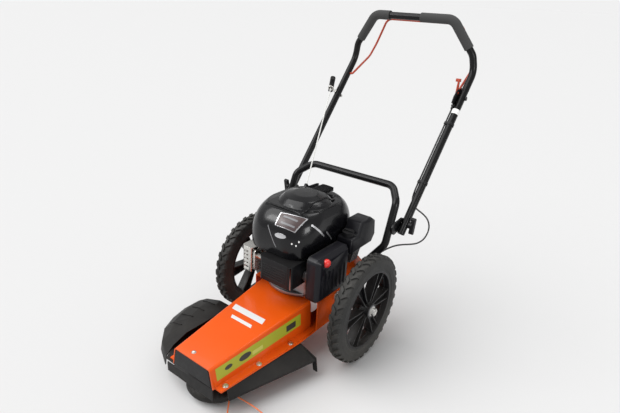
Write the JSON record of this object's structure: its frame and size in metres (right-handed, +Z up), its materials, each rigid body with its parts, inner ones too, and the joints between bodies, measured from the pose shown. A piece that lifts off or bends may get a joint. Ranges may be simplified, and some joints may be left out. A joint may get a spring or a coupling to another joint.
{
  "type": "walk-behind brush mower",
  "caption": "Two-wheeled petrol string trimmer with an orange belt cover, black engine cowl and a folding tubular handle with a bail.",
  "frame": {"origin": "on the ground under the middle of the bounding box", "axes": "+Z up; the machine drives towards -Y; the wheel axle runs along X and the handle rises towards +Y"},
  "size_m": [0.5708, 1.2583, 1.0425],
  "materials": {
    "orange_paint": "gloss orange enamel on sheet steel",
    "black_paint": "satin black enamel on steel tube and sheet",
    "red_paint": "dark red coated wire",
    "black_plastic": "moulded black plastic, fine grain",
    "cowl_plastic": "moulded black plastic, satin gloss",
    "grey_plastic": "moulded grey-black ribbed plastic",
    "cast_alloy": "sand-cast alloy",
    "zinc_steel": "bright zinc-plated steel",
    "forged_steel": "machined steel",
    "tyre_rubber": "black tyre rubber",
    "rubber": "black rubber",
    "bulb_rubber": "soft red rubber",
    "foam": "black closed-cell foam sleeve",
    "line_nylon": "extruded nylon line",
    "rope_fibre": "braided cord"
  },
  "bodies": {
    "chassis": {"air_cleaner_base": "grey_plastic", "air_cleaner_cover": "grey_plastic", "axle": "zinc_steel", "belt_cover": "orange_paint", "blower_shroud": "cowl_plastic", "cable_loop": "rubber", "cable_lower": "rubber", "carburettor": "cast_alloy", "crankcase": "cast_alloy", "cylinder": "cast_alloy", "cylinder_shield": "cowl_plastic", "debris_guard": "black_plastic", "deck": "orange_paint", "fuel_tank": "black_plastic", "handle_bolts": "zinc_steel", "lower_handle": "black_paint", "muffler": "black_paint", "muffler_guard": "zinc_steel", "recoil_cover": "cowl_plastic", "screws": "zinc_steel", "side_skirt": "black_paint", "spark_plug": "zinc_steel", "spindle_housing": "cast_alloy", "starter_rope": "rope_fibre", "v_belt": "rubber"},
    "wheel_left": {"tyre_left": "tyre_rubber", "rim_left": "black_plastic"},
    "wheel_right": {"tyre_right": "tyre_rubber", "rim_right": "black_plastic"},
    "crank": {"crankshaft": "forged_steel", "flywheel": "cast_alloy", "drive_pulley": "forged_steel"},
    "spindle": {"spindle_shaft": "forged_steel", "head_pulley": "forged_steel", "line_head": "black_plastic", "line_a": "line_nylon", "line_b": "line_nylon", "line_c": "line_nylon", "line_d": "line_nylon"},
    "bowl": {"ground_bowl": "black_plastic"},
    "idler": {"idler_arm": "forged_steel", "idler_spring": "zinc_steel"},
    "idler_wheel": {"idler_pulley": "forged_steel"},
    "reel": {"recoil_reel": "black_plastic"},
    "primer": {"primer_bulb": "bulb_rubber"},
    "fuel_cap": {"fuel_cap": "black_plastic"},
    "oil_cap": {"oil_cap": "black_plastic"},
    "handle": {"upper_handle": "black_paint", "grip_left": "foam", "grip_right": "foam", "control_bracket": "black_plastic", "cable_upper": "rubber", "cable_clips": "black_plastic", "rope_guide": "zinc_steel"},
    "bail": {"bail": "red_paint"},
    "lever": {"control_lever": "red_paint"},
    "starter": {"starter_grip": "black_plastic", "rope_tail": "rope_fibre"},
    "knob_left": {"wing_knob_left": "black_plastic"},
    "knob_right": {"wing_knob_right": "black_plastic"}
  },
  "joints": [
    {"name": "wheel_left_spin", "type": "hinge", "parent": "chassis", "child": "wheel_left", "pos_m": [-0.237, -0.09, 0.178], "axis": [1, 0, 0], "continuous": true},
    {"name": "wheel_right_spin", "type": "hinge", "parent": "chassis", "child": "wheel_right", "pos_m": [0.237, -0.09, 0.178], "axis": [1, 0, 0], "continuous": true},
    {"name": "crank_spin", "type": "hinge", "parent": "chassis", "child": "crank", "pos_m": [0, -0.11, 0.3], "axis": [0, 0, 1], "continuous": true},
    {"name": "spindle_spin", "type": "hinge", "parent": "chassis", "child": "spindle", "pos_m": [0, -0.495, 0.1], "axis": [0, 0, 1], "continuous": true},
    {"name": "bowl_spin", "type": "hinge", "parent": "spindle", "child": "bowl", "pos_m": [0, -0.495, 0.008], "axis": [0, 0, 1], "continuous": true},
    {"name": "idler_swing", "type": "hinge", "parent": "chassis", "child": "idler", "pos_m": [0.078, -0.18, 0.141], "axis": [0, 0, 1], "range_deg": [-3, 0], "deforming": ["idler_spring"]},
    {"name": "idler_spin", "type": "hinge", "parent": "idler", "child": "idler_wheel", "pos_m": [0.07, -0.275, 0.13], "axis": [0, 0, 1], "continuous": true},
    {"name": "reel_spin", "type": "hinge", "parent": "chassis", "child": "reel", "pos_m": [0, -0.11, 0.464], "axis": [0, 0, 1], "range_deg": [-1, 580]},
    {"name": "primer_push", "type": "slide", "parent": "chassis", "child": "primer", "axis": [0.7814, -0.2004, 0.591], "range_m": [-0.006, 0], "stiffness_N_per_m": 600, "springref_m": 0.004},
    {"name": "fuel_cap_turn", "type": "hinge", "parent": "chassis", "child": "fuel_cap", "pos_m": [0.138, -0.061, 0.395], "axis": [0, 0, 1], "range_deg": [0, 270]},
    {"name": "oil_cap_turn", "type": "hinge", "parent": "chassis", "child": "oil_cap", "pos_m": [-0.104, -0.044, 0.322], "axis": [0, 0, 1], "range_deg": [0, 360]},
    {"name": "handle_fold", "type": "hinge", "parent": "chassis", "child": "handle", "pos_m": [0, 0.1205, 0.4], "axis": [1, 0, 0], "range_deg": [0, 115], "deforming": ["cable_loop", "starter_rope"]},
    {"name": "bail_squeeze", "type": "hinge", "parent": "handle", "child": "bail", "pos_m": [0.2454, 0.45391, 0.801], "axis": [1, 0, 0], "range_deg": [0, 17], "stiffness_Nm_per_rad": 3, "springref_deg": -28.65},
    {"name": "lever_swing", "type": "hinge", "parent": "handle", "child": "lever", "pos_m": [0.22939, 0.42526, 0.793], "axis": [1, 0, 0], "range_deg": [-10, 30]},
    {"name": "starter_pull", "type": "slide", "parent": "handle", "child": "starter", "axis": [-0.386, 0.7661, 0.514], "range_m": [0, 0.45], "stiffness_N_per_m": 30, "springref_m": -0.2},
    {"name": "knob_left_turn", "type": "hinge", "parent": "chassis", "child": "knob_left", "pos_m": [-0.26, 0.1205, 0.4], "axis": [1, 0, 0], "range_deg": [-720, 0]},
    {"name": "knob_right_turn", "type": "hinge", "parent": "chassis", "child": "knob_right", "pos_m": [0.26, 0.1205, 0.4], "axis": [1, 0, 0], "range_deg": [0, 720]}
  ],
  "couplings": [
    {"joint": "spindle_spin", "follows": "crank_spin", "ratio": 0.80952},
    {"joint": "idler_spin", "follows": "crank_spin", "ratio": -1.4167},
    {"joint": "idler_swing", "follows": "bail_squeeze", "ratio": -0.147},
    {"joint": "reel_spin", "follows": "starter_pull", "rad_per_m": 22.222}
  ]
}
